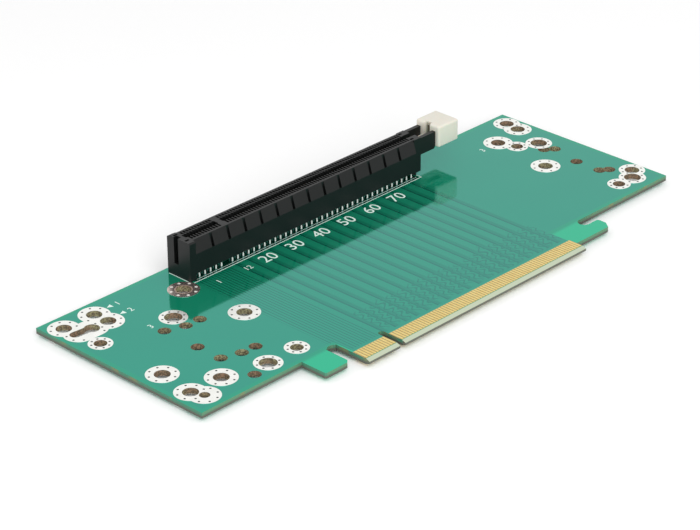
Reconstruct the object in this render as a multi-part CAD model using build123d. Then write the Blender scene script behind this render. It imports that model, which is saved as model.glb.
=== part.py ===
from build123d import *
import math
import os

# A riser card: a circuit board with a gold-fingered tongue that plugs into a system board, and along
# its rear edge an upright card slot with a hinged latch.
# Frame: +X runs along the tongue, +Y from the tongue's leading edge to the board's rear edge, +Z out
# of the component side. The origin is on the key notch's centreline, at the leading edge, on the
# board's underside. All sizes are in millimetres.

# Contact grid, shared by the tongue's fingers and by the slot above it
pitch = 1.0
short_pins = 11
long_pins = 71
key_to_pin = 1.5

# Board
board_thickness = 1.6
left_reach = 58.2
right_reach = 121.9
board_depth = 72.85
wing_setback = 11.65

# Tongue, with its key notch and the bevel on its leading edge
tongue_margin = 0.65
key_notch_width = 1.9
key_notch_depth = 8.25
bevel_length = 1.3
bevel_drop = 0.47
finger_width = 0.7
finger_length = 4.35
finger_gap = 0.05
plating = 0.05

# Tab on the left of the tongue and hook on its right
tab_setback = 3.25
tab_gap = 3.65
tab_gap_depth = 12.3
tab_width = 8.5
tab_inner_chamfer = 0.9
tab_outer_chamfer = 0.4
hook_length = 14.95
hook_notch_width = 3.45
hook_notch_length = 5.6
hook_chamfer_along = 1.6
hook_chamfer_up = 2.1
hook_round = 0.8

# Holes through the board. A centre is given by its distance from the nearer end of the board, and
# from the rear edge or from the wings' front edge, whichever of the two its row belongs to. The four
# bores take the bracket's screws; the spare holes beside them are drawn with flats round the drill.
flat_count = 12
screw_radius = 2.1
spacer_radius = 2.4
small_radius = 1.75
guide_radius = 1.4
left_rear_bores = [(14.75, 5.45)]
left_rear_screws = [(4.55, 5.45), (15.0, 10.55), (39.8, 12.05)]
left_rear_spacers = [(27.7, 21.2)]
left_rear_small = [(5.9, 17.95)]
left_front_bores = [(15.0, 8.95)]
left_front_screws = [(42.05, 28.75), (6.05, 20.55), (4.9, 9.15)]
left_front_spacers = [(27.9, 5.7)]
left_front_guides = [(6.3, 5.65)]
left_front_small = [(38.25, 6.0), (21.3, 36.35), (26.9, 34.45), (31.7, 34.35), (21.4, 24.25),
                    (21.5, 15.95), (27.0, 14.15), (31.6, 13.95), (21.6, 4.05)]
right_rear_bores = [(16.0, 12.25)]
right_rear_screws = [(4.2, 5.35), (4.9, 10.2)]
right_rear_spacers = [(8.05, 20.95)]
right_rear_small = [(14.1, 17.85)]
right_front_bores = [(3.8, 9.25)]
right_front_screws = [(18.55, 28.85)]
right_front_spacers = [(7.5, 6.15)]
right_front_small = [(13.4, 6.25), (10.3, 36.35), (7.9, 34.35), (10.15, 24.35), (10.1, 15.95),
                     (7.9, 14.25)]
keyhole_from_left = 9.6
keyhole_from_rear = 10.45
keyhole_shift = 5.1
keyhole_rise = 0.5
keyhole_neck_radius = 1.5

# Slot housing: heights are above the board's component side, widths are measured from the slot's
# centreline to either side
slot_from_rear = 6.27
wall_half_width = 4.35
wall_lift = 1.8
shoulder_height = 7.5
housing_height = 11.25
rim_half_width = 3.15
block_count = 14
groove_width = 0.9
groove_floor = 3.2
end_margin = 1.0
end_step = 0.2
left_tower_length = 2.0
left_tower_chamfer = 0.4
left_tower_rear_chamfer = 1.0
left_tower_rear_drop = 0.55
right_tower_length = 2.9
right_tower_lift = 0.9
right_foot_length = 0.6
right_seat_half_length = 1.4
right_seat_half_width = 1.8
slot_half_width = 0.875
key_rib_width = 1.7
cell_width = 0.7
cell_reach = 2.5
floor_bar_half_width = 0.65
floor_bar_top = 3.1
right_tower_half_width = 3.45
tower_slot_width = 1.9
tower_slot_bottom = 6.1
peg_radius = 1.15
peg_clearance = 0.1
peg_reach = 0.9
core_hole_length = 1.3
core_hole_width = 0.7
core_hole_depth = 3.0
core_hole_offset = 2.25
end_slot_depth = 1.2
end_slot_near = 0.1
end_slot_far = 1.75
end_slot_bottom = 3.6

# Contacts: a bent strip in each cell. Even pins have their tails in the outer rows
contact_thickness = 0.2
contact_width = 0.5
outer_row = 3.25
inner_row = 1.25
blade_root = 2.2
blade_root_height = 1.6
blade_tip = 0.75
blade_tip_height = 9.6

# Latch, hinged between the two arms of the slot housing
arm_length = 6.0
arm_inner = 2.25
arm_bottom = 5.9
arm_top = 11.05
arm_end_chamfer = 0.5
pivot_from_tower = 3.7
pivot_height = 7.0
trunnion_radius = 0.9
trunnion_length = 0.9
trunnion_clearance = 0.08
cheek_clearance = 0.2
cheek_inner = 1.2
cheek_end_radius = 1.4
head_gap = 0.4
head_length = 8.4
head_half_width = 4.45
head_bottom = 6.0
head_top = 12.5
head_round = 0.9
head_top_chamfer = 0.6
head_bottom_chamfer = 0.35
head_groove_width = 1.95
head_groove_length = 5.75
head_roof = 1.1
head_roof_start = 1.05

# Values worked out from the ones above
short_pin_x = [-key_to_pin - pitch * (short_pins - 1 - k) for k in range(short_pins)]
long_pin_x = [key_to_pin + pitch * k for k in range(long_pins)]
pin_x = short_pin_x + long_pin_x
tongue_left = pin_x[0] - tongue_margin
tongue_right = pin_x[-1] + tongue_margin
top = board_thickness
slot_y = board_depth - slot_from_rear
cavity_left = pin_x[0] - end_margin
cavity_right = pin_x[-1] + end_margin
housing_left = cavity_left - left_tower_length
wall_left = cavity_left + end_step
tower_right = cavity_right + right_tower_length
pivot_x = tower_right + pivot_from_tower
pivot_z = top + pivot_height
peg_right_x = (cavity_right + tower_right) / 2


def block(x0, x1, y0, y1, z0, z1):
    """A rectangular block between two corners."""
    size = Box(x1 - x0, y1 - y0, z1 - z0, align=(Align.MIN, Align.MIN, Align.MIN))
    return Pos(x0, y0, z0) * size


def rectangle(x0, x1, y0, y1):
    """A flat rectangle between two corners."""
    return Pos((x0 + x1) / 2, (y0 + y1) / 2) * Rectangle(x1 - x0, y1 - y0)


def rod_y(radius, x, z, y0, y1):
    """A round rod along Y between y0 and y1."""
    return Plane(origin=(x, y1, z), z_dir=(0, -1, 0)) * extrude(Circle(radius), amount=y1 - y0)


def along_x(outline, x0, x1):
    """A prism along X, its outline given as (Y, Z) points."""
    face = make_face(Polyline(*outline, close=True))
    return extrude(Plane.YZ.offset(x0) * face, amount=x1 - x0)


def tongue_outline():
    """The tongue with its rounded key notch."""
    notch = key_notch_width / 2
    shape = rectangle(tongue_left, tongue_right, 0, wing_setback)
    shape -= rectangle(-notch, notch, 0, key_notch_depth - notch)
    return shape - Pos(0, key_notch_depth - notch) * Circle(notch)


def tab_outline():
    """The small locating tab on the left of the tongue."""
    right = tongue_left - tab_gap
    left = right - tab_width
    inner = tab_inner_chamfer
    outer = tab_outer_chamfer
    return make_face(Polyline((left, wing_setback), (left, tab_setback + outer),
                              (left + outer, tab_setback), (right - inner, tab_setback),
                              (right, tab_setback + inner), (right, wing_setback), close=True))


def tab_gap_outline():
    """The round-ended gap between the tab and the tongue."""
    radius = tab_gap / 2
    end = tab_gap_depth - radius
    return rectangle(tongue_left - tab_gap, tongue_left, 0, end) + Pos(tongue_left - radius, end) * Circle(radius)


def hook_outline():
    """The hook on the right of the tongue, with its point rounded on the notch's side."""
    right = tongue_right + hook_length
    upper = wing_setback - hook_notch_width
    shape = rectangle(tongue_right, right - hook_notch_length + hook_notch_width, tab_setback, wing_setback)
    finger = make_face(Polyline((tongue_right, tab_setback), (right - hook_chamfer_along, tab_setback),
                                (right, tab_setback + hook_chamfer_up), (right, upper),
                                (tongue_right, upper), close=True))
    point = finger.vertices().sort_by(Axis.X)[-2:].sort_by(Axis.Y)[-1]
    return shape + fillet(point, hook_round)


def hook_notch_outline():
    """The open notch above the hook, with a round inner end."""
    right = tongue_right + hook_length
    radius = hook_notch_width / 2
    middle = wing_setback - radius
    centre = right - hook_notch_length + radius
    return rectangle(centre, right + radius, middle - radius, middle + radius) + Pos(centre, middle) * Circle(radius)


def keyhole_outline():
    """The mounting keyhole: a round hole with a narrower neck towards the left end."""
    x = keyhole_from_left - left_reach
    y = board_depth - keyhole_from_rear
    length = math.hypot(keyhole_shift, keyhole_rise)
    neck = SlotCenterToCenter(length, 2 * keyhole_neck_radius)
    angle = -math.degrees(math.atan2(keyhole_rise, keyhole_shift))
    return Pos(x, y) * Circle(screw_radius) + Pos(x - keyhole_shift / 2, y + keyhole_rise / 2) * Rot(0, 0, angle) * neck


def drilled(x, y, radius):
    """A spare hole: flats that touch the drill's circle."""
    return Pos(x, y) * RegularPolygon(radius, flat_count, major_radius=False)


def hole_outlines():
    """All holes of the board apart from the keyhole: round bores, and spare holes with flats."""
    bores = [(x - left_reach, board_depth - y) for x, y in left_rear_bores]
    bores += [(right_reach - x, board_depth - y) for x, y in right_rear_bores]
    bores += [(x - left_reach, wing_setback + y) for x, y in left_front_bores]
    bores += [(right_reach - x, wing_setback + y) for x, y in right_front_bores]
    outlines = [Pos(x, y) * Circle(screw_radius) for x, y in bores]
    rear_rows = [(left_rear_screws, right_rear_screws, screw_radius),
                 (left_rear_spacers, right_rear_spacers, spacer_radius),
                 (left_rear_small, right_rear_small, small_radius)]
    front_rows = [(left_front_screws, right_front_screws, screw_radius),
                  (left_front_spacers, right_front_spacers, spacer_radius),
                  (left_front_guides, [], guide_radius),
                  (left_front_small, right_front_small, small_radius)]
    for left, right, radius in rear_rows:
        outlines += [drilled(x - left_reach, board_depth - y, radius) for x, y in left]
        outlines += [drilled(right_reach - x, board_depth - y, radius) for x, y in right]
    for left, right, radius in front_rows:
        outlines += [drilled(x - left_reach, wing_setback + y, radius) for x, y in left]
        outlines += [drilled(right_reach - x, wing_setback + y, radius) for x, y in right]
    outlines += [drilled(x, slot_y, peg_radius + peg_clearance) for x in (0, peg_right_x)]
    return outlines


def circuit_board():
    """The laminate: wings, tongue, tab and hook in one outline, with all its holes."""
    outline = rectangle(-left_reach, right_reach, wing_setback, board_depth)
    outline += [tongue_outline(), tab_outline(), hook_outline()]
    outline -= [tab_gap_outline(), hook_notch_outline(), keyhole_outline()]
    outline -= hole_outlines()
    board = extrude(outline, amount=board_thickness)
    for face, inward in ((0, 1), (board_thickness, -1)):
        bevel = [(0, face), (bevel_length, face), (0, face + inward * bevel_drop)]
        board -= along_x(bevel, tongue_left, tongue_right)
    return board


def finger_row(pins):
    """The gold fingers of the given pins, on the component side."""
    y = bevel_length + finger_gap
    half = finger_width / 2
    return [block(x - half, x + half, y, y + finger_length, top, top + plating) for x in pins]


def comb_outline(left, right, pins):
    """One stretch of the card slot from above, with a cell at each pin on both sides."""
    half = cell_width / 2
    front = [(left, -slot_half_width)]
    for x in pins:
        front += [(x - half, -slot_half_width), (x - half, -cell_reach),
                  (x + half, -cell_reach), (x + half, -slot_half_width)]
    front.append((right, -slot_half_width))
    rear = [(x, -y) for x, y in reversed(front)]
    return make_face(Polyline(*front, *rear, close=True))


def housing_walls():
    """The long walls, with sloped shoulders parted into blocks by narrow grooves."""
    roof = top + housing_height
    shoulder = top + shoulder_height
    section = [(slot_y - wall_half_width, top + wall_lift), (slot_y + wall_half_width, top + wall_lift),
               (slot_y + wall_half_width, shoulder), (slot_y + rim_half_width, roof),
               (slot_y - rim_half_width, roof), (slot_y - wall_half_width, shoulder)]
    walls = along_x(section, wall_left, cavity_right)
    first = pin_x[0] - pitch / 2
    step = (pin_x[-1] + pitch / 2 - first) / block_count
    grooves = []
    for k in range(1, block_count):
        x = first + step * k
        for side in (-1, 1):
            near, far = sorted((slot_y + side * groove_floor, slot_y + side * (wall_half_width + 1)))
            grooves.append(block(x - groove_width / 2, x + groove_width / 2, near, far, shoulder, roof))
    return walls - grooves


def slot_floor():
    """The bar that the card's edge lands on, held by a web between the ribs at every block."""
    low = top + wall_lift
    high = top + floor_bar_top
    half = floor_bar_half_width
    pieces = [block(cavity_left, cavity_right, slot_y - half, slot_y + half, low, high)]
    rib = pitch - cell_width
    first = pin_x[0] - pitch / 2
    step = (pin_x[-1] + pitch / 2 - first) / block_count
    for k in range(1, block_count):
        x = first + pitch * round(step * k / pitch)
        if abs(x) > key_to_pin:
            pieces.append(block(x - rib / 2, x + rib / 2, slot_y - slot_half_width,
                                slot_y + slot_half_width, low, high))
    return pieces


def end_towers():
    """The square left tower, and the narrower right one that carries the latch's arms."""
    roof = top + housing_height
    section = [(slot_y - wall_half_width, top), (slot_y + wall_half_width, top),
               (slot_y + wall_half_width, roof - left_tower_rear_drop),
               (slot_y + wall_half_width - left_tower_rear_chamfer, roof),
               (slot_y - wall_half_width, roof)]
    left = along_x(section, housing_left, wall_left)
    front_edge = left.edges().filter_by(Axis.X).sort_by(Axis.Z)[-2:].sort_by(Axis.Y)[0]
    left = chamfer(front_edge, left_tower_chamfer)
    slot = block(housing_left, housing_left + end_slot_depth, slot_y + end_slot_near,
                 slot_y + end_slot_far, top + end_slot_bottom, roof)
    lift = top + right_tower_lift
    half = right_tower_half_width
    right = block(cavity_right, tower_right, slot_y - half, slot_y + half, lift, roof)
    right += block(cavity_right - right_foot_length, cavity_right, slot_y - wall_half_width,
                   slot_y + wall_half_width, lift, top + wall_lift)
    seat = right_seat_half_width
    right += block(peg_right_x - right_seat_half_length, peg_right_x + right_seat_half_length,
                   slot_y - seat, slot_y + seat, top, lift)
    return left - slot, right


def latch_arms():
    """The two arms that stand out of the right tower, each with a blind hole for a trunnion."""
    arms = []
    for side in (-1, 1):
        near, far = sorted((slot_y + side * arm_inner, slot_y + side * right_tower_half_width))
        arm = block(tower_right, tower_right + arm_length, near, far, top + arm_bottom, top + arm_top)
        corner = arm.edges().filter_by(Axis.Y).sort_by(Axis.X)[-2:].sort_by(Axis.Z)[0]
        arm = chamfer(corner, arm_end_chamfer)
        cheek = arm_inner - cheek_clearance
        hole_far = cheek + trunnion_length + trunnion_clearance
        low, high = sorted((slot_y + side * arm_inner, slot_y + side * hole_far))
        arms.append(arm - rod_y(trunnion_radius + trunnion_clearance, pivot_x, pivot_z, low, high))
    return arms


def slot_housing():
    """The moulded card slot: walls, towers, latch arms, contact cells, key rib and locating pegs."""
    roof = top + housing_height
    low = top + wall_lift
    left, right = end_towers()
    housing = housing_walls() + left + right + latch_arms()
    rib = key_rib_width / 2
    for x0, x1, pins in ((cavity_left, -rib, short_pin_x), (rib, cavity_right, long_pin_x)):
        comb = Pos(0, slot_y, low) * extrude(comb_outline(x0, x1, pins), amount=roof - low)
        housing -= comb
    housing += slot_floor()
    tower_slot = tower_slot_width / 2
    housing -= block(cavity_right, tower_right, slot_y - tower_slot, slot_y + tower_slot,
                     top + tower_slot_bottom, roof)
    core_x = [(housing_left + wall_left) / 2, cavity_right + core_hole_length / 4]
    for x in core_x:
        for side in (-1, 1):
            y = slot_y + side * core_hole_offset
            housing -= block(x - core_hole_length / 2, x + core_hole_length / 2, y - core_hole_width / 2,
                             y + core_hole_width / 2, roof - core_hole_depth, roof)
    for x, start in ((0, low), (peg_right_x, top + right_tower_lift)):
        peg = extrude(Circle(peg_radius), amount=start + peg_reach)
        housing += Pos(x, slot_y, -peg_reach) * peg
    return housing


def strip_outline(path):
    """A flat strip of the contacts' thickness, bent along (Y, Z) points from a level foot to a level tip."""
    half = contact_thickness / 2
    turns = [math.atan2(b[1] - a[1], b[0] - a[0]) for a, b in zip(path, path[1:])]
    left = [(path[0][0] - half / math.sin(turns[0]), path[0][1])]
    right = [(path[0][0] + half / math.sin(turns[0]), path[0][1])]
    for (y, z), before, after in zip(path[1:-1], turns, turns[1:]):
        bisector = (before + after) / 2 + math.pi / 2
        reach = half / math.cos((after - before) / 2)
        left.append((y + reach * math.cos(bisector), z + reach * math.sin(bisector)))
        right.append((y - reach * math.cos(bisector), z - reach * math.sin(bisector)))
    left.append((path[-1][0] - half / math.sin(turns[-1]), path[-1][1]))
    right.append((path[-1][0] + half / math.sin(turns[-1]), path[-1][1]))
    return left + right[::-1]


def contact_path(outer):
    """A contact from its tail to its tip: outer tails step outwards under the wall."""
    if outer:
        return [(outer_row, 0), (blade_root, blade_root_height), (blade_tip, blade_tip_height)]
    return [(inner_row, 0), (blade_tip, blade_tip_height)]


def contact_row(pins, side, outer):
    """The contacts of one row: side is -1 for the front wall and 1 for the rear wall."""
    path = [(slot_y + side * y, top + z) for y, z in contact_path(outer)]
    outline = strip_outline(path)
    half = contact_width / 2
    return [along_x(outline, x - half, x + half) for x in pins]


def retention_latch():
    """The latch: a grooved head for the thumb, on two cheeks with a trunnion on each."""
    inner = tower_right + arm_length + head_gap
    outer = inner + head_length
    low = top + head_bottom
    high = top + head_top
    head = block(inner, outer, slot_y - head_half_width, slot_y + head_half_width, low, high)
    head = fillet(head.edges().filter_by(Axis.Z).sort_by(Axis.X)[2:], head_round)
    head = chamfer(head.faces().sort_by(Axis.Z)[-1].edges(), head_top_chamfer)
    head = chamfer(head.faces().sort_by(Axis.Z)[0].edges(), head_bottom_chamfer)
    cheek_outer = arm_inner - cheek_clearance
    for side in (-1, 1):
        near, far = sorted((slot_y + side * cheek_inner, slot_y + side * cheek_outer))
        round_end = rod_y(cheek_end_radius, pivot_x, pivot_z, near, far)
        bar = block(pivot_x, inner + head_round, near, far, pivot_z - cheek_end_radius, pivot_z + cheek_end_radius)
        end = slot_y + side * (cheek_outer + trunnion_length)
        start, stop = sorted((slot_y + side * cheek_outer, end))
        head += [round_end, bar, rod_y(trunnion_radius, pivot_x, pivot_z, start, stop)]
    groove = head_groove_width / 2
    head -= block(inner, inner + head_groove_length, slot_y - groove, slot_y + groove, low, high - head_roof)
    head -= block(inner, inner + head_roof_start, slot_y - groove, slot_y + groove, low, high)
    return head


def save(name, solids):
    """Write one sub-part: a solid, or a group of separate equal solids."""
    shape = Compound(children=list(solids)) if isinstance(solids, list) else solids
    export_step(shape, "parts/" + name + ".step")


os.makedirs("parts", exist_ok=True)
save("circuit_board", circuit_board())
save("slot_housing", slot_housing())
save("retention_latch", retention_latch())
for length, pins in (("short", short_pin_x), ("long", long_pin_x)):
    save("gold_fingers_" + length, finger_row(pins))
    odd = [x for x in pins if pin_x.index(x) % 2 == 0]
    even = [x for x in pins if pin_x.index(x) % 2 == 1]
    for wall, side in (("front", -1), ("rear", 1)):
        save("contacts_" + wall + "_inner_" + length, contact_row(odd, side, False))
        save("contacts_" + wall + "_outer_" + length, contact_row(even, side, True))
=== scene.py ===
import math

import bmesh
import bpy
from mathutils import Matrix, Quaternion, Vector


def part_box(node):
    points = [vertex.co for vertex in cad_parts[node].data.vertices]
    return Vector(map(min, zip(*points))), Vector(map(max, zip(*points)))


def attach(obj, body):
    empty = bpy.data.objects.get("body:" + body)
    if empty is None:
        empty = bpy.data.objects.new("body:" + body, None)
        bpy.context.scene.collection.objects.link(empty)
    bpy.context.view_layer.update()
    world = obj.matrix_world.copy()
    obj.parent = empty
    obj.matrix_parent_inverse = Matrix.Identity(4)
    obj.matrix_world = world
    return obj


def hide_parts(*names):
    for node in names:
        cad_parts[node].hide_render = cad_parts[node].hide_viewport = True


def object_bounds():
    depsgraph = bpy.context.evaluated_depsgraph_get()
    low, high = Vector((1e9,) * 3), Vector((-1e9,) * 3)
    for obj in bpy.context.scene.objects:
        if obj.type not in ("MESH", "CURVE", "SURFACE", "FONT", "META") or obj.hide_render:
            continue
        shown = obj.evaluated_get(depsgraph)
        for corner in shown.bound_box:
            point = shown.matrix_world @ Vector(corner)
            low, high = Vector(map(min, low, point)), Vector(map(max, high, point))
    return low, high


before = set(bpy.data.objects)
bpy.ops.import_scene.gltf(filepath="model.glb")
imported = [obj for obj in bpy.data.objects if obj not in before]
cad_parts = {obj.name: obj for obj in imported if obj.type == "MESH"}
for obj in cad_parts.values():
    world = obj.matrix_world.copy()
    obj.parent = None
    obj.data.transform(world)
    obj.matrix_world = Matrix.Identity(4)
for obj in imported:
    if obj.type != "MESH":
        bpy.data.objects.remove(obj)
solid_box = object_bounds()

# Circuit board: glass epoxy laminate under a glossy green solder mask. The mask looks dark over the
# copper planes and bright over bare laminate, as on the tab, the hook and the rim. Its sawn edges
# are green with brownish spots, painted grey as shade low down and on the tongue's end, and its
# drilled holes show speckled grey-brown resin.
mm = 0.001


class Wire:
    """One socket of a material: sums, products and the like of wires add Math nodes."""

    def __init__(self, tree, socket=None):
        self.tree = tree
        self.socket = socket

    def node(self, kind, settings, inputs, output=0):
        """Add a node: its settings first, then the values or wires of its sockets."""
        made = self.tree.nodes.new(kind)
        for name, value in settings.items():
            setattr(made, name, value)
        for name, value in inputs.items():
            self.feed(made.inputs[name], value)
        return Wire(self.tree, made.outputs[output])

    def feed(self, target, value):
        """Link a wire to a socket, or set the socket's own value."""
        if isinstance(value, Wire):
            self.tree.links.new(value.socket, target)
        else:
            target.default_value = value

    def math(self, operation, *values):
        """A Math node on this wire and up to two more values or wires."""
        numbers = dict(enumerate((self,) + values))
        return self.node("ShaderNodeMath", {"operation": operation}, numbers)

    def __add__(self, other):
        return self.math("ADD", other)

    def __sub__(self, other):
        return self.math("SUBTRACT", other)

    def __mul__(self, other):
        return self.math("MULTIPLY", other)

    def __radd__(self, other):
        return self.math("ADD", other)

    def __rmul__(self, other):
        return self.math("MULTIPLY", other)

    def __rsub__(self, other):
        return self.math("MULTIPLY", -1.0).math("ADD", other)

    def above(self, limit, soft=0.02):
        """1 where this wire is over the limit, 0 where it is under, with a soft step between."""
        return self.node("ShaderNodeMapRange", {"interpolation_type": "SMOOTHSTEP"},
                         {"Value": self, "From Min": limit - soft, "From Max": limit + soft})

    def below(self, limit, soft=0.02):
        """1 where this wire is under the limit, 0 where it is over."""
        return 1 - self.above(limit, soft)

    def within(self, low, high, soft=0.02):
        """1 where this wire is between two limits, 0 elsewhere."""
        return self.above(low, soft) * self.below(high, soft)

    def blend(self, first, second):
        """A colour between two others, with this wire as the share of the second."""
        shares = {0: self, 6: first, 7: second}
        return self.node("ShaderNodeMix", {"data_type": "RGBA"}, shares, 2)


def tone(red, green, blue):
    """A colour given by its screen values from 0 to 255."""
    shares = [value / 255 for value in (red, green, blue)]
    linear = [share / 12.92 if share <= 0.04045 else ((share + 0.055) / 1.055) ** 2.4
              for share in shares]
    return linear + [1.0]


def finish(name, **constants):
    """A new material with plain values on its shader, and the wires of its place in millimetres."""
    material = bpy.data.materials.new(name)
    material.use_nodes = True
    tree = material.node_tree
    surface = tree.nodes["Principled BSDF"]
    for socket, value in constants.items():
        surface.inputs[socket.replace("_", " ")].default_value = value
    place = Wire(tree).node("ShaderNodeTexCoord", {}, {}, "Object")
    place = place.node("ShaderNodeVectorMath", {"operation": "SCALE"}, {0: place, "Scale": 1 / mm})
    axes = [place.node("ShaderNodeSeparateXYZ", {}, {0: place}, k) for k in range(3)]
    return material, surface, place, axes


def noise(place, size, detail=2.0):
    """Cloudy noise whose spots are about as large as the size, in millimetres."""
    return place.node("ShaderNodeTexNoise", {},
                      {"Vector": place, "Scale": 1.0 / size, "Detail": detail})


def bump(height, surface, distance):
    """Raise a surface by a wire times a distance in millimetres."""
    relief = height.node("ShaderNodeBump", {}, {"Height": height, "Distance": distance * mm})
    relief.feed(surface.inputs["Normal"], relief)


def dress(nodes, material):
    """Give solids of the frame a finish."""
    for name in nodes:
        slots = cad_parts[name].data.materials
        slots.clear()
        slots.append(material)


board_low, board_high = (Vector(corner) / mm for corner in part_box("circuit_board"))
thickness = board_high.z
wing_edge = 11.65
tongue_left = -12.15
tongue_right = 72.15
slot_line = board_high.y - 6.27

board_paint, surface, place, (x, y, z) = finish("board_paint", Roughness=0.07, IOR=2.1,
                                                Specular_Tint=(0.07, 1.0, 0.95, 1.0))
facing = place.node("ShaderNodeNewGeometry", {}, {}, "Normal")
sideways, upwards = [facing.node("ShaderNodeSeparateXYZ", {}, {0: facing}, k).math("ABSOLUTE")
                     for k in (0, 2)]
flat = upwards.above(0.6, 0.1)
end_face = sideways.above(0.6, 0.1)

# The copper planes stop short of the wings' rims; the neck is the copper under the tongue.
bare_rim = 1.3
plane = x.within(board_low.x + bare_rim, board_high.x - bare_rim)
plane = plane * y.within(wing_edge + bare_rim, board_high.y - bare_rim)
neck = x.within(tongue_left + 0.5, tongue_right - 0.5) * y.above(6.0)
copper = plane.math("MAXIMUM", neck)

# Tracks run from the fingers to the slot: pairs every 4 mm behind the long row, one a contact
# behind the short row, and wavy lines of matched length near the fingers.
track_run = y.within(7.0, 62.0)
lane = (x - 0.5).math("FLOORED_MODULO", 4.0)
lane_shade = lane.within(0.0, 1.7, 0.35) * 0.5 + lane.within(0.0, 0.6, 0.2) * 0.5
lanes = lane_shade * x.within(0.3, 72.0) * track_run
fine = x.math("FLOORED_MODULO", 1.0).within(0.25, 0.6, 0.1)
fine_lines = fine * x.within(-13.5, -1.2) * track_run
swing = (noise(place, 5.0, 0.0) - 0.5) * 4.0
wavy_zone = (y + swing).within(8.0, 19.5, 1.0) * x.within(2.0, 71.5)
waves = (y * 2.1 + swing).math("SINE") * 0.8
wavy_lines = (x + waves + swing * 0.5).math("FLOORED_MODULO", 2.0).within(0.4, 1.1, 0.25)
tracks = (lanes * (1 - wavy_zone * 0.2)).math("MAXIMUM", fine_lines * 0.8)
tracks = tracks.math("MAXIMUM", wavy_lines * wavy_zone * 0.8)

mask = noise(place, 22.0).blend(tone(12, 119, 90), tone(18, 125, 94))
mask = tracks.blend(mask, tone(0, 80, 62))
rim = y.above(wing_edge - 0.3, 0.8).blend(tone(0, 164, 110), tone(2, 130, 88))
green = copper.blend(rim, mask)

# Between and before the fingers the tongue shows resin, then a line of mask, then the bevel.
tongue = x.within(tongue_left, tongue_right)
for band_end, colour in ((5.9, tone(172, 126, 62)), (1.5, tone(96, 132, 82)),
                         (1.22, tone(192, 186, 158))):
    green = (tongue * y.below(band_end)).blend(green, colour)
# Painted shadow: a strip of mask along the foot of the slot's front wall is darkened almost to
# black.
wall_shade = y.within(61.7, 64.5, 0.2) * x.within(-13.2, 73.0, 0.3)
green = (wall_shade * 0.9).blend(green, tone(0, 34, 25))
place.feed(surface.inputs["Base Color"], green)
ripple = noise(place, 0.6) * 0.15 + tracks * 0.5
bump(ripple, surface, 0.004)

sawn = place.node("ShaderNodeBsdfPrincipled", {}, {})
sawn_surface = sawn.socket.node
weave = noise(place, 0.35, 3.0)
long_edge = weave.blend(tone(70, 120, 90), tone(92, 138, 104))
short_edge = weave.blend(tone(46, 112, 88), tone(74, 132, 104))
outer_edge = end_face.blend(long_edge, short_edge)
scorch = noise(place, 5.0, 1.0).above(0.62, 0.06) * 0.55
outer_edge = scorch.blend(outer_edge, tone(128, 118, 74))
# Painted shade: the lower part of the sawn edges and the tongue's end face are darkened to grey.
outer_edge = z.below(0.75, 0.3).blend(outer_edge, tone(82, 84, 74))
outer_edge = (tongue * y.below(1.0)).blend(outer_edge, tone(92, 94, 84))
speckle = noise(place, 0.45).above(0.5, 0.12)
resin = noise(place, 7.0, 0.0).above(0.5, 0.1).blend(tone(146, 118, 94), tone(158, 154, 116))
drilled = speckle.blend(resin, tone(94, 84, 66))
place.feed(sawn_surface.inputs["Base Color"], plane.blend(outer_edge, drilled))
place.feed(sawn_surface.inputs["Roughness"], weave * 0.2 + 0.5)
bump(weave, sawn_surface, 0.03)
both = place.node("ShaderNodeMixShader", {},
                  {0: flat, 1: sawn, 2: Wire(place.tree, surface.outputs[0])})
both.feed(place.tree.nodes["Material Output"].inputs["Surface"], both)
dress(["circuit_board"], board_paint)

# Ring pads: bare copper lands round the mounting holes, levelled with bright solder and stitched
# through the board by small vias. They stand 0.05 mm proud of the mask, on both faces.


def circle(centre_x, centre_y, radius, steps=48, first=0.0):
    """The corners of a round outline, from a first angle on."""
    turns = [first + math.tau * k / steps for k in range(steps)]
    return [(centre_x + radius * math.cos(turn), centre_y + radius * math.sin(turn))
            for turn in turns]


def obround(x0, y0, x1, y1, radius, steps=24):
    """The outline of a slot with round ends at two centres."""
    start = math.atan2(y1 - y0, x1 - x0) - math.pi / 2
    turns = [start + math.pi * k / steps for k in range(steps + 1)]
    first = [(x1 + radius * math.cos(turn), y1 + radius * math.sin(turn)) for turn in turns]
    return first + [(x0 - radius * math.cos(turn), y0 - radius * math.sin(turn)) for turn in turns]


def prism(outline, low, high):
    """The shell of a straight prism over a closed outline, in millimetres."""
    count = len(outline)
    points = [(px, py, level) for level in (low, high) for px, py in outline]
    faces = [tuple(range(count))[::-1], tuple(range(count, 2 * count))]
    faces += [(k, (k + 1) % count, count + (k + 1) % count, count + k) for k in range(count)]
    return points, faces


def solid(name, shells):
    """A mesh object made of closed shells in millimetres."""
    points = []
    faces = []
    for shell_points, shell_faces in shells:
        start = len(points)
        points += [(px * mm, py * mm, pz * mm) for px, py, pz in shell_points]
        faces += [tuple(start + k for k in face) for face in shell_faces]
    mesh = bpy.data.meshes.new(name)
    mesh.from_pydata(points, [], faces)
    made = bpy.data.objects.new(name, mesh)
    bpy.context.scene.collection.objects.link(made)
    return made


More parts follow.
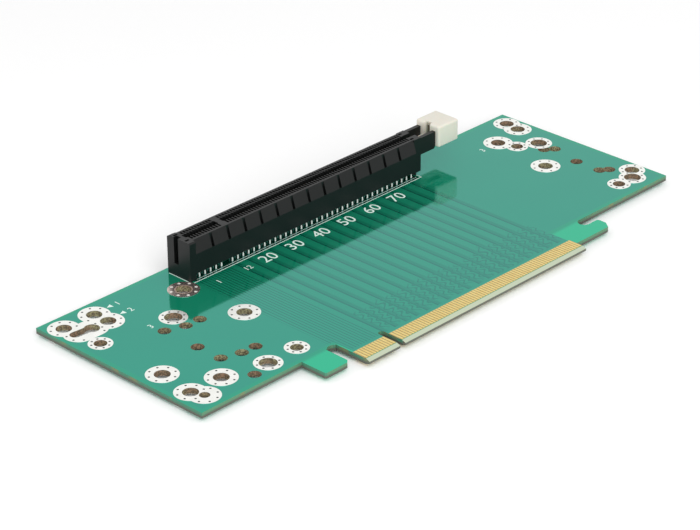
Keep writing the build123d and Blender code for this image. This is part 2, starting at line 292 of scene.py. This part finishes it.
def build(name, shells, material, body="card", rounding=0.0, joined=(), cutters=()):
    """One visible piece: its shells, rounded, joined to more shells and cut, with its finish."""
    made = solid(name, shells)
    if rounding:
        bevelled = made.modifiers.new("round", "BEVEL")
        bevelled.width = rounding * mm
        bevelled.segments = 6
    tools = []
    for operation, others in (("UNION", joined), ("DIFFERENCE", cutters)):
        if others:
            tools.append(solid(name + "_tool", others))
            cut = made.modifiers.new(operation, "BOOLEAN")
            cut.operation = operation
            cut.solver = "EXACT"
            cut.use_self = True
            cut.object = tools[-1]
    bpy.context.view_layer.update()
    shaped = made.evaluated_get(bpy.context.evaluated_depsgraph_get())
    mesh = bpy.data.meshes.new_from_object(shaped)
    made.modifiers.clear()
    made.data = mesh
    for tool in tools:
        bpy.data.objects.remove(tool)
    shape = bmesh.new()
    shape.from_mesh(mesh)
    bmesh.ops.recalc_face_normals(shape, faces=shape.faces)
    shape.to_mesh(mesh)
    shape.free()
    mesh.polygons.foreach_set("use_smooth", [True] * len(mesh.polygons))
    mesh.set_sharp_from_angle(angle=math.radians(32))
    mesh.materials.clear()
    mesh.materials.append(material)
    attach(made, body)
    return made


# Each ring: the hole's centre, the pad's radius and the hole's radius. The keyhole's pad is long.
rings = [
    (-53.65, 67.4, 4.27, 2.1), (-43.45, 67.4, 4.27, 2.1), (-43.2, 62.3, 4.27, 2.1),
    (-52.3, 54.9, 3.25, 1.75), (-18.4, 60.8, 4.3, 2.1), (-30.5, 51.65, 3.8, 2.4),
    (-16.15, 40.4, 4.3, 2.1), (-52.15, 32.2, 4.3, 2.1), (-53.3, 20.8, 4.25, 2.1),
    (-51.9, 17.3, 4.2, 1.4), (-43.2, 20.6, 4.3, 2.1), (-30.3, 17.35, 3.8, 2.4),
    (-19.95, 17.65, 3.3, 1.75), (117.7, 67.5, 3.95, 2.1), (117.0, 62.65, 4.1, 2.1),
    (105.9, 60.6, 4.3, 2.1), (107.8, 55.0, 3.2, 1.75), (113.85, 51.9, 3.85, 2.4),
    (103.35, 40.5, 4.25, 2.1), (118.1, 20.9, 3.75, 2.1), (114.4, 17.8, 3.85, 2.4),
    (108.5, 17.9, 3.3, 1.75),
]
keyhole = (-48.6, 62.4)
keyhole_radius = 2.1
neck_end = (-53.7, 62.9)
neck_middle = ((keyhole[0] + neck_end[0]) / 2, keyhole[1])
neck_radius = 1.5
keyhole_pad = ((-52.7, 62.4), (-48.5, 62.4))
keyhole_pad_radius = 4.3

# Eight vias stand round each pad, but none near a hole or close to another via.
via_radius = 0.31
via_inset = 0.82
via_to_hole = 0.4
via_to_via = 1.2
first_via = math.pi / 8
stitches = []
for cx, cy, pad, hole in rings:
    stitches += circle(cx, cy, pad - via_inset, 8, first_via)
for side, (cx, cy) in zip((-1, 1), keyhole_pad):
    stitches += [(px, py) for px, py in circle(cx, cy, 3.45, 8, first_via) if side * (px - cx) > 0]
holes = [((cx, cy), hole) for cx, cy, pad, hole in rings]
holes += [(keyhole, keyhole_radius), (neck_end, neck_radius), (neck_middle, neck_radius)]
vias = []
for via in stitches:
    clear = all(math.dist(via, centre) > radius + via_to_hole for centre, radius in holes)
    if clear and all(math.dist(via, other) > via_to_via for other in vias):
        vias.append(via)

# The ring before the slot's left tower is dull and rosy, with a lip and with solder in its vias.
tower_ring = (-18.4, 60.8)
solder, surface, place, (x, y, z) = finish("bright_solder", Metallic=1.0)
pooled = noise(place, 2.4, 1.0)
across, along = x - tower_ring[0], y - tower_ring[1]
off_centre = (across * across + along * along).math("SQRT")
lip = off_centre.within(2.0, 2.42, 0.06)
plated = pooled.blend(tone(252, 252, 248), tone(238, 239, 233))
rosy = lip.blend(tone(238, 214, 204), tone(206, 172, 152))
place.feed(surface.inputs["Base Color"], (off_centre.below(4.4) * 0.8).blend(plated, rosy))
place.feed(surface.inputs["Roughness"], pooled * 0.1 + 0.24 + lip * 0.25)
bump(pooled, surface, 0.003)
# Painted shade: the open vias are filled with dark discs that stand in for the shade down their
# holes.
shade, surface, place, (x, y, z) = finish("via_shade", Roughness=0.5)
dark = noise(place, 0.4).blend(tone(8, 22, 16), tone(22, 40, 30))
place.feed(surface.inputs["Base Color"], dark)
frosted, surface, place, (x, y, z) = finish("frosted_solder", Metallic=0.3, Roughness=0.6)
frost = noise(place, 0.4).blend(tone(244, 242, 236), tone(222, 218, 210))
place.feed(surface.inputs["Base Color"], frost)


def is_filled(via):
    """Whether solder fills a via, as it does in the ring before the tower."""
    return math.dist(via, tower_ring) < 4.0


def via_hole(via, low, high):
    """The shell of a via's hole, which is wider where solder fills it."""
    return prism(circle(*via, via_radius * (1.4 if is_filled(via) else 1.0), 14), low, high)


plate = 0.05
overcut = 0.1
for face, low, high in (("top", thickness, thickness + plate), ("under", -plate, 0.0)):
    middle = (low + high) / 2
    bottom, crest = (low, middle) if face == "top" else (middle, high)
    under, over = low - overcut, high + overcut
    pads = [prism(circle(cx, cy, pad, 64), low, high) for cx, cy, pad, hole in rings]
    pads.append(prism(obround(*keyhole_pad[0], *keyhole_pad[1], keyhole_pad_radius), low, high))
    cutters = [prism(circle(cx, cy, hole), under, over) for cx, cy, pad, hole in rings]
    cutters.append(prism(circle(*keyhole, keyhole_radius), under, over))
    cutters.append(prism(obround(*neck_end, *keyhole, neck_radius), under, over))
    cutters += [via_hole(via, under, over) for via in vias]
    build("ring_pads_" + face, pads, solder, cutters=cutters)
    for kind, paint, filled in (("open", shade, False), ("filled", frosted, True)):
        fill = [via_hole(via, bottom, crest) for via in vias if is_filled(via) == filled]
        build("vias_%s_%s" % (kind, face), fill, paint)

# Gold fingers: copper strips plated with hard gold, 82 on each face of the tongue. Those on the
# component side are solids of the frame; those on the underside are the same strips again.
gold, surface, place, (x, y, z) = finish("hard_gold", Metallic=1.0)
worn = noise(place, 1.2, 4.0)
place.feed(surface.inputs["Base Color"], worn.blend(tone(242, 222, 148), tone(218, 186, 108)))
place.feed(surface.inputs["Roughness"], worn * 0.2 + 0.15)
dress([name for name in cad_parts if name.startswith("gold_fingers")], gold)
short_pins = [-11.5 + k for k in range(11)]
long_pins = [1.5 + k for k in range(71)]
pins = short_pins + long_pins
finger_half = 0.35
finger_start = 1.35
finger_end = 5.7


def rectangle(x0, x1, y0, y1):
    """The corners of a rectangular outline."""
    return [(x0, y0), (x1, y0), (x1, y1), (x0, y1)]


underside = [prism(rectangle(pin - finger_half, pin + finger_half, finger_start, finger_end),
                   -plate, 0.0) for pin in pins]
build("gold_fingers_under", underside, gold)

# Slot housing: black glass-filled nylon, moulded in one piece, with a fine satin grain. Its two
# pegs locate it in the board while its contacts are soldered. A sloped lip inside the rear wall,
# parted by the key rib, leads the card into the cavity.
nylon, surface, place, (x, y, z) = finish("black_nylon", IOR=1.36)
grain = noise(place, 0.12)
flow = noise(place, 6.0)
place.feed(surface.inputs["Base Color"], flow.blend(tone(12, 13, 13), tone(19, 20, 20)))
place.feed(surface.inputs["Roughness"], grain * 0.16 + 0.28)
bump(grain, surface, 0.005)
dress(["slot_housing"], nylon)


def bar(profile, x0, x1):
    """The shell of a straight bar along X over a closed (Y, Z) outline."""
    count = len(profile)
    points = [(end, py, pz) for end in (x0, x1) for py, pz in profile]
    faces = [tuple(range(count)), tuple(range(count, 2 * count))[::-1]]
    faces += [(k, count + k, count + (k + 1) % count, (k + 1) % count) for k in range(count)]
    return points, faces


lip_corners = [(0.9, 9.9), (0.9, 10.6), (1.15, 11.15), (1.5, 11.15), (1.5, 9.9)]
lip_profile = [(slot_line + py, thickness + pz) for py, pz in lip_corners]
lip_spans = ((-11.9, -0.9), (0.9, 71.9))
build("lead_in_lips", [bar(lip_profile, *span) for span in lip_spans], nylon)

# Contacts: phosphor bronze strips, gold at the bow that touches the card and tinned at the tail.
# The outer tails step out under the wall and down into the board, where domes of solder hold them.
bronze, surface, place, (x, y, z) = finish("contact_plating")
tail = z.below(thickness + 3.0, 0.4)
# Painted shade: each tail is darker from 1.1 to 3 mm over the board, where it bends up under the
# wall.
standing = z.below(thickness + 1.1, 0.15)
shaded = tail * (1 - standing)
plating = tail.blend(tone(224, 190, 120), tone(244, 248, 242))
place.feed(surface.inputs["Base Color"], (shaded * 0.85).blend(plating, tone(84, 94, 88)))
place.feed(surface.inputs["Roughness"], noise(place, 0.3) * 0.2 + 0.2 + tail * 0.25)
place.feed(surface.inputs["Metallic"], 1 - standing * 0.7)
dress([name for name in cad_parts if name.startswith("contacts")], bronze)


def strip(path, centre, width, thick):
    """The shell of a flat strip bent along (Y, Z) points."""
    points = []
    for k, (py, pz) in enumerate(path):
        before = path[max(k - 1, 0)]
        after = path[min(k + 1, len(path) - 1)]
        turn = math.atan2(after[1] - before[1], after[0] - before[0])
        dy, dz = -math.sin(turn) * thick / 2, math.cos(turn) * thick / 2
        for sx, side in ((-1, 1), (1, 1), (1, -1), (-1, -1)):
            points.append((centre + sx * width / 2, py + side * dy, pz + side * dz))
    faces = [(0, 1, 2, 3), tuple(len(points) - 4 + k for k in (3, 2, 1, 0))]
    for start in range(0, len(points) - 4, 4):
        for k in range(4):
            near = start + k
            far = start + (k + 1) % 4
            faces.append((near, near + 4, far + 4, far))
    return points, faces


def turned(centre_x, centre_y, profile, steps):
    """The shell of a turned shape from its (radius, Z) profile."""
    points = []
    for radius, level in profile:
        points += [(px, py, level) for px, py in circle(centre_x, centre_y, radius, steps)]
    last = len(points) - steps
    faces = [tuple(range(steps)), tuple(range(last, len(points)))[::-1]]
    for start in range(0, last, steps):
        for k in range(steps):
            near = start + k
            far = start + (k + 1) % steps
            faces.append((near, near + steps, far + steps, far))
    return points, faces


outer_row = 3.4
inner_row = 1.25
strip_width = 0.4
strip_thick = 0.2
bend = [(outer_row, 0.0), (outer_row, 0.7), (3.34, 1.0), (3.18, 1.27), (2.94, 1.46), (2.6, 1.58),
        (2.36, 1.76), (2.22, 2.1), (2.1, 3.2), (1.6, 6.0), (0.78, 8.6), (0.72, 9.0), (0.86, 9.55)]
for wall, side in (("front", -1), ("rear", 1)):
    path = [(slot_line + side * py, thickness + pz) for py, pz in bend]
    for length, group in (("short", short_pins), ("long", long_pins)):
        strips = [strip(path, pin, strip_width, strip_thick) for pin in group
                  if pins.index(pin) % 2 == 1]
        made = build("tails_%s_%s" % (wall, length), strips, bronze)
        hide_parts("contacts_%s_outer_%s" % (wall, length))
dome_profile = [(0.62, 0.0), (0.6, -0.06), (0.42, -0.3), (0.2, -0.62), (0.12, -0.7)]
domes = []
for index, pin in enumerate(pins):
    row = outer_row if index % 2 else inner_row
    domes += [turned(pin, slot_line + side * row, dome_profile, 12) for side in (-1, 1)]
build("solder_domes", domes, solder)

# Latch: ivory nylon, moulded in one piece, snapped between the arms by its two trunnions. Its head
# is a rounded block with a groove in the face that grips the card.
ivory, surface, place, (x, y, z) = finish("ivory_nylon", IOR=1.5, Subsurface_Weight=0.1,
                                          Subsurface_Scale=0.001)
pivot = (79.1, 8.6)
gap_face = 81.8
head_far = 90.2
head_low = thickness + 6.0
head_high = thickness + 12.5
head_half = 4.45
# Painted shade: the inside of the groove in the head is darkened to a brown-grey.
inside = x.within(gap_face + 0.9, gap_face + 5.9, 0.7) * z.below(head_high - 0.4)
inside = inside * (y - slot_line).math("ABSOLUTE").below(1.0)
pale = noise(place, 3.0).blend(tone(226, 222, 210), tone(219, 214, 200))
place.feed(surface.inputs["Base Color"], (inside * 0.8).blend(pale, tone(116, 110, 86)))
place.feed(surface.inputs["Roughness"], noise(place, 0.15) * 0.15 + 0.34)


def box_shell(x0, x1, y0, y1, z0, z1):
    """The shell of a box between two corners."""
    return prism(rectangle(x0, x1, y0, y1), z0, z1)


def rod_shell(centre_x, centre_z, radius, y0, y1, steps=40):
    """The shell of a round rod along Y."""
    ring = circle(centre_x, centre_z, radius, steps)
    points = [(px, y_end, pz) for y_end in (y0, y1) for px, pz in ring]
    faces = [tuple(range(steps)), tuple(range(steps, 2 * steps))[::-1]]
    faces += [(k, steps + k, steps + (k + 1) % steps, (k + 1) % steps) for k in range(steps)]
    return points, faces


cheek_half = 1.4
trunnion_radius = 0.9
cheeks = []
for side in (-1, 1):
    near, far = sorted((slot_line + side * 1.2, slot_line + side * 2.05))
    cheeks.append(box_shell(pivot[0], gap_face + 1.5, near, far,
                            pivot[1] - cheek_half, pivot[1] + cheek_half))
    cheeks.append(rod_shell(*pivot, cheek_half, near, far))
    start, stop = sorted((slot_line + side * 1.8, slot_line + side * 2.95))
    cheeks.append(rod_shell(*pivot, trunnion_radius, start, stop))
groove_half = 0.975
groove_sides = (slot_line - groove_half, slot_line + groove_half)
groove_mouth = gap_face - 0.1
groove = [box_shell(groove_mouth, gap_face + 5.75, *groove_sides, head_low - 1, head_high - 1.1),
          box_shell(groove_mouth, gap_face + 1.05, *groove_sides, head_low, head_high + 1)]
head = box_shell(gap_face, head_far, slot_line - head_half, slot_line + head_half,
                 head_low, head_high)
latch = build("latch_moulding", [head], ivory, "latch", 0.65, cheeks, groove)
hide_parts("retention_latch")

# Printed marks: white ink, screened on the mask: the slot's outline, the numbers of its contacts
# and plain numbers with arrows beside some holes.
ink, surface, place, (x, y, z) = finish("white_ink", Roughness=0.6)
worn_ink = noise(place, 0.25).blend(tone(236, 246, 240), tone(206, 232, 222))
place.feed(surface.inputs["Base Color"], worn_ink)
ink_film = 0.02
print_high = thickness + ink_film


def figure(text, cap, centre_x, centre_y):
    """The shell of a printed number, by its cap height and the middle of its foot."""
    curve = bpy.data.curves.new("figure", "FONT")
    curve.body = text
    curve.size = cap / 0.73
    curve.align_x = "CENTER"
    curve.extrude = ink_film / 2
    curve.resolution_u = 3
    holder = bpy.data.objects.new("figure", curve)
    bpy.context.scene.collection.objects.link(holder)
    bpy.context.view_layer.update()
    mesh = bpy.data.meshes.new_from_object(holder)
    middle = thickness + ink_film / 2
    points = [(v.co.x + centre_x, v.co.y + centre_y, v.co.z + middle) for v in mesh.vertices]
    faces = [tuple(face.vertices) for face in mesh.polygons]
    bpy.data.objects.remove(holder)
    return points, faces


line = 0.24
front_line = 61.3
left_line = -14.8
right_line = 73.9
line_corners = [(left_line, right_line, front_line, front_line + line),
                (left_line, left_line + line, front_line + line, 70.4),
                (right_line - line, right_line, front_line + line, 63.4),
                (left_line + 1.2, right_line - 1.2, 62.3, 62.42)]
outline = [prism(rectangle(*corners), thickness, print_high) for corners in line_corners]
build("slot_outline", outline, ink)

small_figures = [("1", -35.2, 66.9), ("2", -35.1, 61.9), ("3", -37.7, 51.4), ("1", -9.0, 56.4),
                 ("12", 1.6, 56.4), ("3", 99.0, 59.6)]
numbers = [figure(str(pin), 4.0, 1.5 + pin - 12, 55.9) for pin in range(20, 80, 10)]
numbers += [figure(text, 2.0, px, py) for text, px, py in small_figures]
build("printed_numbers", numbers, ink)
arrows = [prism([(px - 0.9, py), (px + 0.7, py + 0.8), (px + 0.7, py - 0.8)], thickness, print_high)
          for px, py in ((-37.8, 67.9), (-37.7, 62.9))]
build("printed_arrows", arrows, ink)

# Floor and backdrop: one plain white sheet under the card, in a white room that the camera and the
# bright metal see in full, with a soft lamp at the front left.
floor_z = solid_box[0][2] / mm - 0.1
reach = 6000.0
sheet_corners = [(px, py, floor_z) for px, py in rectangle(-reach, reach, -reach, reach)]
floor = solid("floor", [(sheet_corners, [(0, 1, 2, 3)])])
sheet, surface, place, (x, y, z) = finish("white_sheet", Roughness=0.9,
                                          Base_Color=tone(254, 254, 254))
floor.data.materials.append(sheet)

world = bpy.data.worlds.new("white_room")
bpy.context.scene.world = world
world.use_nodes = True
background = world.node_tree.nodes["Background"]
camera_ray, glossy_ray = [
    Wire(world.node_tree).node("ShaderNodeLightPath", {}, {}, "Is %s Ray" % kind)
    for kind in ("Camera", "Glossy")]
seen = camera_ray.math("MAXIMUM", glossy_ray)
background.inputs["Color"].default_value = (1.0, 1.0, 1.0, 1.0)
room_level = 0.78
seen.feed(background.inputs["Strength"], seen * (1.0 - room_level) + room_level)

lamp = bpy.data.lights.new("softbox", "AREA")
lamp.energy = 7.0
lamp.size = 0.9
lit_point = Vector((0.03, 0.04, 0.0))
softbox = bpy.data.objects.new("softbox", lamp)
softbox.location = (-0.45, -0.65, 0.55)
softbox.rotation_euler = (lit_point - softbox.location).to_track_quat("-Z", "Y").to_euler()
bpy.context.scene.collection.objects.link(softbox)

# Camera: down onto the card from beyond its front left corner, with a long lens, as in the
# photograph.
azimuth = math.radians(-45.957)
elevation = math.radians(27.562)
roll = math.radians(-0.3616)
distance = 0.6982
aim = Vector((0.023413, 0.040960, 0.0))
back = Vector((math.sin(azimuth) * math.cos(elevation), -math.cos(azimuth) * math.cos(elevation),
               math.sin(elevation)))
lens = bpy.data.cameras.new("camera")
lens.lens = 134.98
lens.sensor_width = 36.0
lens.clip_start = 0.05
lens.clip_end = 30.0
camera = bpy.data.objects.new("camera", lens)
camera.location = aim + back * distance
camera.rotation_mode = "QUATERNION"
camera.rotation_quaternion = back.to_track_quat("Z", "Y") @ Quaternion((0.0, 0.0, 1.0), roll)
bpy.context.scene.collection.objects.link(camera)
bpy.context.scene.camera = camera
bpy.context.scene.view_settings.view_transform = "Standard"
